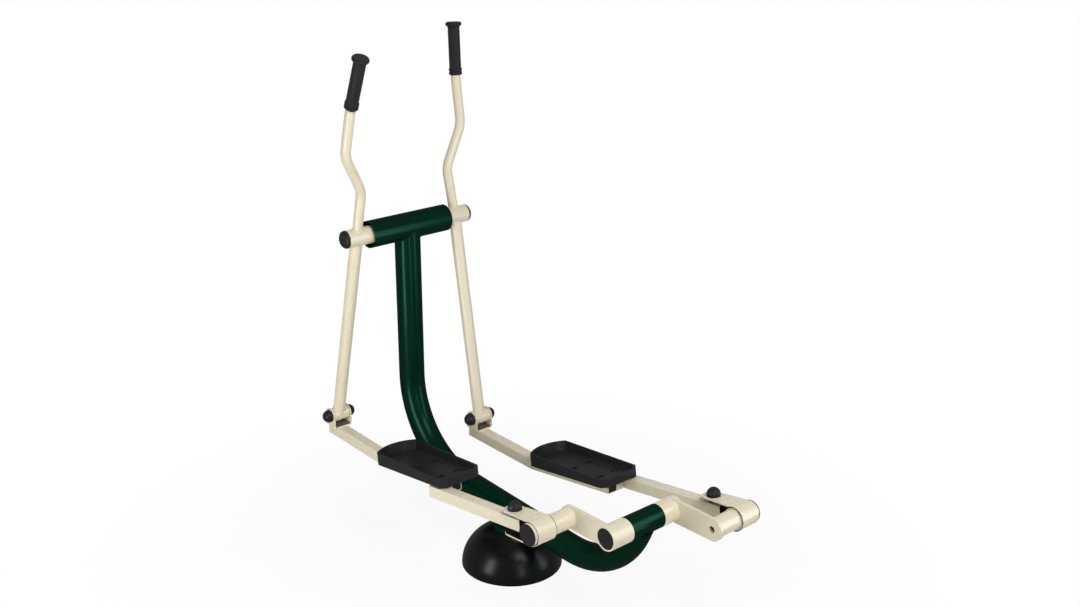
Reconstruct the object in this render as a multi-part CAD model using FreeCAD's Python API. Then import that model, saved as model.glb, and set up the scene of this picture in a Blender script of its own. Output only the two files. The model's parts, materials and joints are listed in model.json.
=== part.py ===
import FreeCAD, Part
import math
import os

os.makedirs("parts", exist_ok=True)

V = FreeCAD.Vector
ALONG_X = V(1, 0, 0)
ALONG_Z = V(0, 0, 1)

# Outdoor cross trainer. Millimetres and degrees, Z up, Y forward (the way the user faces),
# X to the user's right. The origin is on the ground, under the middle of the base post.

# Linkage, seen from the side
lever_axis_y = 539.0
lever_axis_z = 1057.0
crank_axis_y = -595.0
crank_axis_z = 384.5
crank_throw = 167.0
lever_length = 729.5
foot_bar_length = 1161.0

# Main tube: post, long low run and rise to the crank
main_tube_diameter = 88.9
main_tube_wall = 4.0
run_height_at_base = 189.0
run_slope = 3.4
front_bend_radius = 314.0
rear_rise_angle = 66.5
rear_straight = 40.0
crank_seat_depth = 15.0
tube_end_plate = 5.0

# Base
flange_diameter = 280.0
flange_thickness = 12.0
anchor_circle = 220.0
anchor_hole = 18.0
anchor_count = 4
base_post_diameter = 127.0
base_post_wall = 5.0
base_post_cap = 8.0
base_saddle_depth = 6.0
cover_radius = 168.5
cover_height = 142.0
cover_wall = 3.0
cover_clearance = 0.5

# Cross tube with the lever axle
cross_tube_length = 321.0
cross_tube_diameter = 92.0
cross_tube_wall = 4.0
lever_axle_body = 32.0
lever_axle_journal = 25.0
axle_seat_thickness = 12.0
axle_seat_recess = 32.0
axle_end_margin = 4.0

# Lever hub and its bearings
lever_hub_diameter = 60.3
lever_hub_outer_end = 247.8
lever_hub_entry = 14.5
lever_bearing_outer = 52.0
lever_bearing_width = 15.0
lever_bearing_inset = 2.0
hub_plug_lip = 3.0
hub_plug_rise = 13.0
hub_plug_top = 40.0
hub_plug_spigot = 2.0
running_clearance = 0.05

# Lever arm and handle
lever_plane_at_hub = 205.0
lever_plane_at_pivot = 189.0
lower_arm_diameter = 42.4
lower_arm_wall = 3.0
handle_diameter = 33.7
handle_wall = 3.0
handle_low_bend_forward = 6.5
handle_low_bend_height = 168.0
handle_high_bend_out = 83.0
handle_high_bend_forward = 1.7
handle_high_bend_height = 307.0
handle_grip_bend_out = 86.0
handle_grip_bend_forward = -2.3
handle_grip_bend_height = 462.0
handle_low_radius = 90.0
handle_high_radius = 110.0
handle_grip_radius = 150.0

# Grip, measured along the handle from its top
grip_lean_back = 7.8
grip_lean_out = 0.9
grip_above_bend = 16.0
grip_length = 180.0
grip_diameter = 41.0
grip_flange_diameter = 56.0
grip_flange_edge = 5.0
grip_cap = 7.0
grip_neck = 18.0
grip_collar_diameter = 46.0
grip_collar_length = 24.0
grip_groove = 3.0

# Lower pivot
pivot_hub_diameter = 50.0
pivot_hub_length = 62.0
pivot_bolt_diameter = 16.0
pivot_bush_diameter = 30.0
pivot_bush_length = 24.0
clevis_side_gap = 0.5
clevis_thickness = 4.5
clevis_ear_radius = 28.0
clevis_bend_radius = 6.0
pivot_above_bar = 43.5
bolt_hole_clearance = 0.1

# Black bolt caps and the hexagons under them
cap_diameter = 44.0
cap_height = 28.0
cap_wall = 4.0
hexagon_per_bolt = 1.5
hexagon_height_per_bolt = 0.62

# Foot bars: a front bar under the pedal and a rear bar further out, side by side
bar_size = 40.0
bar_wall = 3.0
bar_corner = 4.0
front_bar_tilt = 3.8
front_bar_lead = 34.5
front_bar_bend_back = 305.0
front_bar_rear_end = 484.0
rear_bar_plane = 256.5
rear_bar_front_end = 514.0
rear_bar_gap_to_pin = 66.0
joining_block_length = 16.0
bar_plug_depth = 12.0
bar_end_plate = 4.0

# Pedal, stations measured forward from the crank pin along the rear part of the bar
pedal_plane = 195.0
pedal_width = 162.0
pedal_rear = 439.0
pedal_side_front = 797.0
pedal_front = 827.0
pedal_chamfer_in = 20.0
pedal_chamfer_along = 20.0
pedal_corner_round = 4.0
pedal_floor = 12.0
pedal_wall_front = 45.0
pedal_wall_rear = 28.0
pedal_rim = 4.0
pedal_draft = 6.0
pedal_plate_thickness = 5.0
pedal_plate_inset = 10.0
pedal_bolt_diameter = 8.0
pedal_bolt_across = 68.0
pedal_bolt_along = 127.0
pedal_bolt_middle = 574.0
pedal_slot_length = 30.0
pedal_slot_width = 18.0
pedal_slot_depth = 8.0
pedal_bolt_head = 15.0
pedal_bolt_head_height = 4.0
pedal_nut_height = 6.5

# Bearing hub at the crank pin, and the strap round it
strap_width = 71.0
strap_thickness = 4.0
strap_seam = 2.5
strap_bolt_station = 105.0
strap_tip = 145.0
strap_tip_width = 60.0
strap_taper_start = 30.0
strap_bolt_diameter = 12.0
strap_boss_diameter = 30.0
sleeve_stand_out = 9.0
pin_sleeve_wall = 3.5
pin_bearing_outer = 62.0
pin_bearing_width = 16.0
pin_bearing_inset = 5.0
pin_axle_diameter = 30.0
pin_disc_depth = 6.0
pin_disc_lip = 3.5
pin_gap = 0.8

# Crank
crank_housing_length = 131.8
crank_housing_diameter = 76.0
crank_bearing_outer = 62.0
crank_bearing_width = 16.0
crank_bearing_inset = 2.0
crank_shaft_diameter = 30.0
crank_hub_gap = 0.5
crank_hub_outer_end = 148.5
crank_hub_diameter = 76.0
crank_hub_rim = 4.5
crank_hub_web = 58.0
crank_cap_thickness = 6.0
crank_cap_recess = 1.5
crank_shaft_stand_out = 6.0
crank_arm_width = 74.0
crank_arm_thickness = 12.0
crank_arm_plane = 131.0
crank_pin_hole = 22.0
pin_spacer_diameter = 63.5
pin_spacer_wall = 6.0
pin_spacer_end = 12.0

# Values that follow from the sizes above
cross_tube_end = cross_tube_length / 2
bar_half = bar_size / 2
pivot_to_bar_middle = pivot_above_bar + bar_half
clevis_inner = pivot_hub_length / 2 + clevis_side_gap
clevis_outer = clevis_inner + clevis_thickness
pin_sleeve_radius = pin_bearing_outer / 2 + pin_sleeve_wall
strap_radius = pin_sleeve_radius + strap_thickness
pin_hub_inner_end = rear_bar_plane - strap_width / 2
strap_outer_end = rear_bar_plane + strap_width / 2
pin_hub_outer_end = strap_outer_end + sleeve_stand_out
pedal_base = bar_half + pedal_plate_thickness
crank_housing_end = crank_housing_length / 2
crank_hub_inner_end = crank_housing_end + crank_hub_gap
crank_arm_inner = crank_arm_plane - crank_arm_thickness / 2
crank_arm_outer = crank_arm_plane + crank_arm_thickness / 2
pin_spacer_outer_end = pin_hub_inner_end - pin_gap


# Shapes used again and again

def rod_x(x_from, x_to, diameter):
    """Round bar along X on the local axis."""
    return Part.makeCylinder(diameter / 2, x_to - x_from, V(x_from, 0, 0), ALONG_X)


def ring_x(x_from, x_to, outer_diameter, inner_diameter):
    """Round tube along X on the local axis."""
    return rod_x(x_from, x_to, outer_diameter).cut(rod_x(x_from, x_to, inner_diameter))


def face_of(points):
    """Flat face inside a closed outline of straight edges."""
    return Part.Face(Part.makePolygon(points + points[:1]))


def turned(outline, axis_point, axis):
    """Solid of revolution of a flat outline."""
    return Part.Face(Part.Wire(outline)).revolve(axis_point, axis, 360)


def line(start, end):
    return Part.LineSegment(start, end).toShape()


def arc(start, middle, end):
    return Part.Arc(start, middle, end).toShape()


def bent_path(points, radii):
    """Straight runs through the points, joined by a tangent arc at each inner point."""
    edges = []
    start = points[0]
    for before, corner, after, radius in zip(points, points[1:], points[2:], radii):
        back = (before - corner).normalize()
        ahead = (after - corner).normalize()
        half_turn = (math.pi - back.getAngle(ahead)) / 2
        reach = radius * math.tan(half_turn)
        inward = (back + ahead).normalize()
        middle = corner + inward * (radius / math.cos(half_turn) - radius)
        edges.append(line(start, corner + back * reach))
        edges.append(arc(corner + back * reach, middle, corner + ahead * reach))
        start = corner + ahead * reach
    edges.append(line(start, points[-1]))
    return Part.Wire(edges)


def bent_rod(points, radii, diameter):
    """Round bar along a bent path."""
    section = Part.Wire(Part.makeCircle(diameter / 2, points[0], points[1] - points[0]))
    return bent_path(points, radii).makePipeShell([section], True, False)


def shortened(points, length):
    """The same path, ending short of its last point."""
    last_run = (points[-1] - points[-2]).normalize()
    return points[:-1] + [points[-1] - last_run * length]


def rounded_square(size, corner):
    """Square outline with round corners, in the XZ plane about the origin."""
    half = size / 2
    flat = half - corner
    diagonal = flat + corner * math.sqrt(0.5)
    edges = []
    for turn in range(4):
        quarter = FreeCAD.Rotation(V(0, 1, 0), 90 * turn)
        side = line(V(-flat, 0, half), V(flat, 0, half))
        bend = arc(V(flat, 0, half), V(diagonal, 0, diagonal), V(half, 0, flat))
        for edge in (side, bend):
            edge.Placement = FreeCAD.Placement(V(), quarter)
            edges.append(edge)
    return Part.Wire(edges)


def square_rod(points, size, corner):
    """Square bar along straight runs in a plane of constant X, mitred where they meet."""
    run = points[1] - points[0]
    section = rounded_square(size, corner)
    pitch = math.degrees(math.atan2(run.z, run.y))
    section.Placement = FreeCAD.Placement(points[0], FreeCAD.Rotation(ALONG_X, pitch))
    return Part.makePolygon(points).makePipeShell([section], True, False, 1)


def square_tube(points):
    """Square tube of the foot bars."""
    outside = square_rod(points, bar_size, bar_corner)
    return outside.cut(square_rod(points, bar_size - 2 * bar_wall, bar_corner - bar_wall / 2))


def bolt_cap():
    """Hollow round-topped cap along Z, open at the bottom."""
    def bell(diameter, height):
        radius = diameter / 2
        shoulder = height - radius
        bend = V(radius * math.sqrt(0.5), 0, shoulder + radius * math.sqrt(0.5))
        outline = [
            line(V(), V(radius, 0, 0)),
            line(V(radius, 0, 0), V(radius, 0, shoulder)),
            arc(V(radius, 0, shoulder), bend, V(0, 0, height)),
            line(V(0, 0, height), V()),
        ]
        return turned(outline, V(), ALONG_Z)

    return bell(cap_diameter, cap_height).cut(bell(cap_diameter - 2 * cap_wall, cap_height - cap_wall))


def hexagon(bolt_diameter):
    """Hexagon head or nut along Z, standing on the origin."""
    corner_radius = bolt_diameter * hexagon_per_bolt / math.sqrt(3)
    turns = [math.radians(60 * corner) for corner in range(6)]
    corners = [V(corner_radius * math.cos(turn), corner_radius * math.sin(turn), 0) for turn in turns]
    return face_of(corners).extrude(V(0, 0, bolt_diameter * hexagon_height_per_bolt))


def hexagon_bolt(bolt_diameter, grip):
    """Bolt along Z with its head above and its nut below, clamping a grip about the origin."""
    head = hexagon(bolt_diameter)
    head.translate(V(0, 0, grip / 2))
    nut = hexagon(bolt_diameter).mirror(V(), ALONG_Z)
    nut.translate(V(0, 0, -grip / 2))
    shank_end = grip / 2 + bolt_diameter * hexagon_height_per_bolt
    shank = Part.makeCylinder(bolt_diameter / 2, grip / 2 + shank_end, V(0, 0, -shank_end))
    return [shank.fuse(head), nut.cut(shank)]


def cap_pair(grip):
    """Two bolt caps along Z on the outer faces of what the bolt clamps."""
    upper = bolt_cap()
    upper.translate(V(0, 0, grip / 2))
    return [upper, upper.mirror(V(), ALONG_Z)]


def placed(shapes, placement):
    """Copies of shapes moved by a placement."""
    moved = [shape.copy() for shape in shapes]
    for shape in moved:
        shape.Placement = placement.multiply(shape.Placement)
    return moved


def turned_about_x(y, z, angle):
    return FreeCAD.Placement(V(0, y, z), FreeCAD.Rotation(ALONG_X, angle))


# Side view of the linkage at rest: both crank arms lie level, left one forward

def pin_y(side):
    """Crank pin of the left (-1) or right (+1) side."""
    return crank_axis_y - side * crank_throw


def lever_swing(side):
    """Angle of a lever from hanging straight down, positive with its lower end forward."""
    to_pin_y = pin_y(side) - lever_axis_y
    to_pin_z = crank_axis_z - lever_axis_z
    reach = math.hypot(to_pin_y, to_pin_z)
    cosine = (lever_length ** 2 + reach ** 2 - foot_bar_length ** 2) / (2 * lever_length * reach)
    return math.degrees(math.atan2(to_pin_z, to_pin_y) + math.acos(cosine)) + 90


def pivot_point(side):
    """Lower pivot of a lever, as Y and Z."""
    swing = math.radians(lever_swing(side))
    return (
        lever_axis_y + lever_length * math.sin(swing),
        lever_axis_z - lever_length * math.cos(swing),
    )


def foot_bar_pitch(side):
    """Angle of the line from the crank pin to the lower pivot, positive rising forward."""
    pivot_y, pivot_z = pivot_point(side)
    return math.degrees(math.atan2(pivot_z - crank_axis_z, pivot_y - pin_y(side)))


# Foot bar line in its own frame: origin at the lower pivot, crank pin straight behind it

front_run_frame = turned_about_x(0, 0, front_bar_tilt)
front_bar_frame = front_run_frame.multiply(turned_about_x(0, -pivot_to_bar_middle, 0))
bar_front_end = front_bar_frame.multVec(V(0, front_bar_lead, 0))
bar_bend = front_bar_frame.multVec(V(0, -front_bar_bend_back, 0))
crank_pin = V(0, -foot_bar_length, 0)
rear_run_angle = math.degrees(math.atan2(bar_bend.z - crank_pin.z, bar_bend.y - crank_pin.y))
rear_run_frame = turned_about_x(crank_pin.y, crank_pin.z, rear_run_angle)


# Frame

def main_tube_points():
    """Corner points of the tube, from the cross tube's axis to its seat under the crank housing."""
    slope = math.tan(math.radians(run_slope))
    rise = math.radians(rear_rise_angle)
    crank = V(0, crank_axis_y, crank_axis_z)
    front_corner = V(0, lever_axis_y, run_height_at_base + lever_axis_y * slope)
    drop = crank_axis_z - run_height_at_base - crank_axis_y * slope
    rise_length = drop / (math.sin(rise) + slope * math.cos(rise))
    rise_direction = V(0, -math.cos(rise), math.sin(rise))
    rear_corner = crank - rise_direction * rise_length
    top = V(0, lever_axis_y, lever_axis_z)
    return [top, front_corner, rear_corner, crank - rise_direction * crank_seat_depth], rise_length


def main_tube_radii(rise_length):
    """The rear bend takes up what the rise has beyond its straight end."""
    turn = math.radians(rear_rise_angle + run_slope)
    return [front_bend_radius, (rise_length - rear_straight) / math.tan(turn / 2)]


tube_points, tube_rise = main_tube_points()
tube_radii = main_tube_radii(tube_rise)
main_tube_solid = bent_rod(tube_points, tube_radii, main_tube_diameter)
cross_tube_place = turned_about_x(lever_axis_y, lever_axis_z, 0)
crank_place = turned_about_x(crank_axis_y, crank_axis_z, 0)


def main_tube():
    bore_points = shortened(tube_points, tube_end_plate)
    bore = bent_rod(bore_points, tube_radii, main_tube_diameter - 2 * main_tube_wall)
    cross_tube_outside = rod_x(-cross_tube_end, cross_tube_end, cross_tube_diameter)
    housing_outside = rod_x(-crank_housing_end, crank_housing_end, crank_housing_diameter)
    copes = placed([cross_tube_outside], cross_tube_place) + placed([housing_outside], crank_place)
    return main_tube_solid.cut(bore).cut(copes)


def base_flange():
    holes = []
    for index in range(anchor_count):
        turn = 2 * math.pi * (index + 0.5) / anchor_count
        spot = V(anchor_circle / 2 * math.cos(turn), anchor_circle / 2 * math.sin(turn), 0)
        holes.append(Part.makeCylinder(anchor_hole / 2, flange_thickness, spot))
    return Part.makeCylinder(flange_diameter / 2, flange_thickness).cut(holes)


def base_post():
    """Short post with a closed top that the main tube lies in."""
    top = run_height_at_base - main_tube_diameter / 2 + base_saddle_depth
    bore = Part.makeCylinder(
        base_post_diameter / 2 - base_post_wall,
        top - base_post_cap - flange_thickness,
        V(0, 0, flange_thickness),
    )
    post = Part.makeCylinder(base_post_diameter / 2, top - flange_thickness, V(0, 0, flange_thickness))
    return post.cut(bore).cut(main_tube_solid)


def base_cover():
    """Round-shouldered cover shell on the ground, with a hole for the base post."""
    hole_radius = base_post_diameter / 2 + cover_clearance

    def shoulder(radius, height):
        ellipse = Part.Ellipse(V(radius, 0, 0), V(0, 0, height), V())
        return Part.ArcOfEllipse(ellipse, 0, math.acos(hole_radius / radius)).toShape()

    outside = shoulder(cover_radius, cover_height)
    inside = shoulder(cover_radius - cover_wall, cover_height - cover_wall)
    rim = line(outside.Vertexes[-1].Point, inside.Vertexes[-1].Point)
    foot = line(inside.Vertexes[0].Point, outside.Vertexes[0].Point)
    return turned([outside, rim, inside, foot], V(), ALONG_Z)


def cross_tube():
    return ring_x(
        -cross_tube_end, cross_tube_end, cross_tube_diameter, cross_tube_diameter - 2 * cross_tube_wall
    )


def lever_axle():
    """Stepped axle: a thick middle held by the seats, a journal for each lever hub."""
    shoulder = cross_tube_end - lever_hub_entry + lever_bearing_inset - running_clearance
    end = lever_hub_outer_end - axle_end_margin
    return rod_x(-end, end, lever_axle_journal).fuse(rod_x(-shoulder, shoulder, lever_axle_body))


def axle_seats():
    """Round plates inside the cross tube that carry the axle."""
    outer = cross_tube_end - axle_seat_recess
    inner = outer - axle_seat_thickness
    seat = ring_x(inner, outer, cross_tube_diameter - 2 * cross_tube_wall, lever_axle_body)
    return [seat, seat.mirror(V(), ALONG_X)]


def crank_housing():
    return ring_x(-crank_housing_end, crank_housing_end, crank_housing_diameter, crank_bearing_outer)


def crank_bearings():
    outer = crank_housing_end - crank_bearing_inset
    bore = crank_shaft_diameter + 2 * running_clearance
    bearing = ring_x(outer - crank_bearing_width, outer, crank_bearing_outer, bore)
    return [bearing, bearing.mirror(V(), ALONG_X)]


# Crank

def crank_shaft():
    end = crank_hub_inner_end + crank_hub_web + crank_shaft_stand_out
    return rod_x(-end, end, crank_shaft_diameter)


def crank_hub():
    """Sleeve on the shaft's end: a thick web on the shaft and an open rim outside it."""
    sleeve = rod_x(crank_hub_inner_end, crank_hub_outer_end, crank_hub_diameter)
    web_end = crank_hub_inner_end + crank_hub_web
    socket = rod_x(web_end, crank_hub_outer_end, crank_hub_diameter - 2 * crank_hub_rim)
    return sleeve.cut(socket).cut(rod_x(crank_hub_inner_end, web_end, crank_shaft_diameter))


def crank_cap():
    outer = crank_hub_outer_end - crank_cap_recess
    return rod_x(outer - crank_cap_thickness, outer, crank_hub_diameter - 2 * crank_hub_rim)


def crank_arm():
    """Flat arm, coped to the hub and round at the pin, pointing forward from the shaft."""
    half = crank_arm_width / 2
    outline = Part.Wire([
        line(V(crank_arm_inner, 0, -half), V(crank_arm_inner, crank_throw, -half)),
        arc(
            V(crank_arm_inner, crank_throw, -half),
            V(crank_arm_inner, crank_throw + half, 0),
            V(crank_arm_inner, crank_throw, half),
        ),
        line(V(crank_arm_inner, crank_throw, half), V(crank_arm_inner, 0, half)),
        line(V(crank_arm_inner, 0, half), V(crank_arm_inner, 0, -half)),
    ])
    plate = Part.Face(outline).extrude(V(crank_arm_thickness, 0, 0))
    hole = rod_x(crank_arm_inner, crank_arm_outer, crank_pin_hole)
    hole.translate(V(0, crank_throw, 0))
    hub = rod_x(crank_arm_inner, crank_arm_outer, crank_hub_diameter)
    return plate.cut([hole, hub])


def pin_spacer():
    """Tube between the crank arm and the bearing hub, with a thick outer end, at the pin."""
    spacer = rod_x(crank_arm_outer, pin_spacer_outer_end, pin_spacer_diameter)
    hollow_end = pin_spacer_outer_end - pin_spacer_end
    hollow = rod_x(crank_arm_outer, hollow_end, pin_spacer_diameter - 2 * pin_spacer_wall)
    spacer = spacer.cut([hollow, rod_x(hollow_end, pin_spacer_outer_end, pin_axle_diameter)])
    spacer.translate(V(0, crank_throw, 0))
    return spacer


# Lever, in its own frame: origin on the lever axis, the arm hanging straight down

lever_hub_inner_end = cross_tube_end - lever_hub_entry
lever_foot = V(lever_plane_at_pivot, 0, -lever_length)
lever_hub_middle = V(lever_plane_at_hub, 0, 0)
grip_direction = V(
    math.tan(math.radians(grip_lean_out)), -math.tan(math.radians(grip_lean_back)), 1
).normalize()
grip_bend = lever_hub_middle + V(handle_grip_bend_out, handle_grip_bend_forward, handle_grip_bend_height)
handle_points = [
    lever_hub_middle,
    lever_hub_middle + V(0, handle_low_bend_forward, handle_low_bend_height),
    lever_hub_middle + V(handle_high_bend_out, handle_high_bend_forward, handle_high_bend_height),
    grip_bend,
    grip_bend + grip_direction * (grip_above_bend + grip_length),
]
handle_radii = [handle_low_radius, handle_high_radius, handle_grip_radius]


def lever_hub():
    return ring_x(lever_hub_inner_end, lever_hub_outer_end, lever_hub_diameter, lever_bearing_outer)


def lever_hub_outside():
    return rod_x(lever_hub_inner_end, lever_hub_outer_end, lever_hub_diameter)


def pivot_hub_outside():
    half = pivot_hub_length / 2
    outside = rod_x(lever_plane_at_pivot - half, lever_plane_at_pivot + half, pivot_hub_diameter)
    outside.translate(V(0, 0, -lever_length))
    return outside


def lower_arm():
    """Straight tube between the two hubs, coped to both."""
    run = lever_foot - lever_hub_middle
    tube = Part.makeCylinder(lower_arm_diameter / 2, run.Length, lever_hub_middle, run)
    bore = Part.makeCylinder(lower_arm_diameter / 2 - lower_arm_wall, run.Length, lever_hub_middle, run)
    return tube.cut([bore, lever_hub_outside(), pivot_hub_outside()])


def handle():
    """Tube bent out and up from the hub to just under the grip's closed end."""
    points = shortened(handle_points, grip_cap)
    tube = bent_rod(points, handle_radii, handle_diameter)
    bore = bent_rod(points, handle_radii, handle_diameter - 2 * handle_wall)
    return tube.cut([bore, lever_hub_outside()])


def grip():
    """Rubber sleeve with a mushroom end, a tapered neck and a grooved collar, turned about Z."""
    flange = grip_flange_diameter / 2
    body = grip_diameter / 2
    collar = grip_collar_diameter / 2
    collar_top = grip_collar_length - grip_length
    groove_middle = collar_top - grip_collar_length / 2
    bore = handle_diameter / 2
    edge_middle = V(flange, 0, -grip_cap)
    outline = [
        line(V(), V(flange - grip_flange_edge, 0, 0)),
        arc(V(flange - grip_flange_edge, 0, 0), edge_middle, V(flange - grip_flange_edge, 0, -2 * grip_cap)),
        line(V(flange - grip_flange_edge, 0, -2 * grip_cap), V(body, 0, -grip_neck)),
        line(V(body, 0, -grip_neck), V(body, 0, collar_top)),
        line(V(body, 0, collar_top), V(collar, 0, collar_top - grip_groove)),
        line(V(collar, 0, collar_top - grip_groove), V(collar, 0, groove_middle + grip_groove)),
        line(V(collar, 0, groove_middle + grip_groove), V(body, 0, groove_middle)),
        line(V(body, 0, groove_middle), V(collar, 0, groove_middle - grip_groove)),
        line(V(collar, 0, groove_middle - grip_groove), V(collar, 0, grip_groove - grip_length)),
        line(V(collar, 0, grip_groove - grip_length), V(body, 0, -grip_length)),
        line(V(body, 0, -grip_length), V(bore, 0, -grip_length)),
        line(V(bore, 0, -grip_length), V(bore, 0, -grip_cap)),
        line(V(bore, 0, -grip_cap), V(0, 0, -grip_cap)),
        line(V(0, 0, -grip_cap), V()),
    ]
    sleeve = turned(outline, V(), ALONG_Z)
    lean = FreeCAD.Rotation(ALONG_Z, grip_direction)
    return placed([sleeve], FreeCAD.Placement(handle_points[-1], lean))[0]


def pivot_hub():
    bush = rod_x(lever_plane_at_pivot - pivot_hub_length, lever_plane_at_pivot + pivot_hub_length,
                 pivot_bush_diameter)
    bush.translate(V(0, 0, -lever_length))
    return pivot_hub_outside().cut(bush)


def pivot_bushes():
    """Plain bushes in both ends of the pivot hub."""
    bore = pivot_bolt_diameter + 2 * running_clearance
    bushes = []
    for end in (-1, 1):
        outer = lever_plane_at_pivot + end * pivot_hub_length / 2
        inner = outer - end * pivot_bush_length
        bush = ring_x(min(inner, outer), max(inner, outer), pivot_bush_diameter, bore)
        bush.translate(V(0, 0, -lever_length))
        bushes.append(bush)
    return bushes


def hub_bearings():
    bore = lever_axle_journal + 2 * running_clearance
    inner = lever_hub_inner_end + lever_bearing_inset
    outer = lever_hub_outer_end - lever_bearing_inset - hub_plug_spigot - axle_end_margin
    return [
        ring_x(inner, inner + lever_bearing_width, lever_bearing_outer, bore),
        ring_x(outer - lever_bearing_width, outer, lever_bearing_outer, bore),
    ]


def hub_plug():
    """Black end plug: spigot in the hub, lip against its end, rounded nose."""
    end = lever_hub_outer_end
    lip = lever_hub_diameter / 2
    nose = hub_plug_top / 2
    nose_end = end + hub_plug_rise
    bulge = V(end + (hub_plug_lip + hub_plug_rise) / 2, 0, (lip + nose) / 2 + hub_plug_lip)
    outline = [
        line(V(end - hub_plug_spigot, 0, 0), V(end - hub_plug_spigot, 0, lever_bearing_outer / 2)),
        line(V(end - hub_plug_spigot, 0, lever_bearing_outer / 2), V(end, 0, lever_bearing_outer / 2)),
        line(V(end, 0, lever_bearing_outer / 2), V(end, 0, lip)),
        line(V(end, 0, lip), V(end + hub_plug_lip, 0, lip)),
        arc(V(end + hub_plug_lip, 0, lip), bulge, V(nose_end, 0, nose)),
        line(V(nose_end, 0, nose), V(nose_end, 0, 0)),
        line(V(nose_end, 0, 0), V(end - hub_plug_spigot, 0, 0)),
    ]
    return turned(outline, V(), ALONG_X)


# Foot bar, front end: pieces in the frame of the front run, origin at the lower pivot

def clevis():
    """Plate bent into a U on top of the bar, with round ears for the pivot bolt."""
    foot = -pivot_above_bar
    bend = clevis_bend_radius
    outer_bend = bend + clevis_thickness
    ear_top = clevis_ear_radius
    middle = lever_plane_at_pivot

    def u_edges(half_width, bottom, radius):
        shoulder = radius * (1 - math.sqrt(0.5))
        return [
            line(V(middle - half_width, 0, ear_top), V(middle - half_width, 0, bottom + radius)),
            arc(
                V(middle - half_width, 0, bottom + radius),
                V(middle - half_width + shoulder, 0, bottom + shoulder),
                V(middle - half_width + radius, 0, bottom),
            ),
            line(V(middle - half_width + radius, 0, bottom), V(middle + half_width - radius, 0, bottom)),
            arc(
                V(middle + half_width - radius, 0, bottom),
                V(middle + half_width - shoulder, 0, bottom + shoulder),
                V(middle + half_width, 0, bottom + radius),
            ),
            line(V(middle + half_width, 0, bottom + radius), V(middle + half_width, 0, ear_top)),
        ]

    outside = u_edges(clevis_outer, foot, outer_bend)
    inside = u_edges(clevis_inner, foot + clevis_thickness, bend)
    tops = [
        line(V(middle + end * clevis_inner, 0, ear_top), V(middle + end * clevis_outer, 0, ear_top))
        for end in (-1, 1)
    ]
    section = Part.Face(Part.Wire(Part.__sortEdges__(outside + inside + tops)))
    section.translate(V(0, -clevis_ear_radius, 0))
    channel = section.extrude(V(0, 2 * clevis_ear_radius, 0))
    left = middle - clevis_outer
    side_outline = Part.Wire([
        line(V(left, -clevis_ear_radius, foot), V(left, clevis_ear_radius, foot)),
        line(V(left, clevis_ear_radius, foot), V(left, clevis_ear_radius, 0)),
        arc(V(left, clevis_ear_radius, 0), V(left, 0, clevis_ear_radius), V(left, -clevis_ear_radius, 0)),
        line(V(left, -clevis_ear_radius, 0), V(left, -clevis_ear_radius, foot)),
    ])
    ears = Part.Face(side_outline).extrude(V(2 * clevis_outer, 0, 0))
    hole = rod_x(left, left + 2 * clevis_outer, pivot_bolt_diameter + 2 * bolt_hole_clearance)
    return channel.common(ears).cut(hole)


across_pivot = FreeCAD.Placement(V(lever_plane_at_pivot, 0, 0), FreeCAD.Rotation(ALONG_Z, ALONG_X))


def pivot_bolt():
    return placed(hexagon_bolt(pivot_bolt_diameter, 2 * clevis_outer), across_pivot)


def pivot_caps():
    return placed(cap_pair(2 * clevis_outer), across_pivot)


# Foot bar, rear end: pieces in the frame of the rear run, origin on the crank pin's axis

def at_plane(x, point):
    return V(x, point.y, point.z)


def bar_insert(x, end, outward, depth):
    """Square piece flush in an open bar end that faces along Y (outward 1 or -1)."""
    insert = Part.Face(rounded_square(bar_size - 2 * bar_wall, bar_corner - bar_wall / 2))
    insert = insert.extrude(V(0, -outward * depth, 0))
    insert.translate(V(x, end, 0))
    return insert


def front_bar():
    """Bent square tube from under the clevis to under the pedal, its front end closed by a plate."""
    rear_end = rear_run_frame.multVec(V(0, front_bar_rear_end, 0))
    corners = (bar_front_end, bar_bend, rear_end)
    tube = square_tube([at_plane(lever_plane_at_pivot, corner) for corner in corners])
    end_plate = bar_insert(lever_plane_at_pivot, front_bar_lead, 1, bar_end_plate)
    return tube.fuse(placed([end_plate], front_bar_frame))


at_strap_bolt = FreeCAD.Placement(V(rear_bar_plane, strap_bolt_station, 0), FreeCAD.Rotation())


def strap_bolt_hole():
    hole = Part.makeCylinder(
        strap_bolt_diameter / 2 + bolt_hole_clearance, 2 * strap_radius, V(0, 0, -strap_radius)
    )
    return placed([hole], at_strap_bolt)[0]


def rear_bar():
    """Square tube closed by end plates, with a boss above and below it that carries the strap's legs."""
    tube = square_tube([V(rear_bar_plane, rear_bar_gap_to_pin, 0), V(rear_bar_plane, rear_bar_front_end, 0)])
    end_plates = [
        bar_insert(rear_bar_plane, rear_bar_front_end, 1, bar_end_plate),
        bar_insert(rear_bar_plane, rear_bar_gap_to_pin, -1, bar_end_plate),
    ]
    boss = Part.makeCylinder(strap_boss_diameter / 2, pin_sleeve_radius - bar_half, V(0, 0, bar_half))
    bosses = placed([boss, boss.mirror(V(), ALONG_Z)], at_strap_bolt)
    return tube.fuse(end_plates + bosses).cut(strap_bolt_hole())


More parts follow.
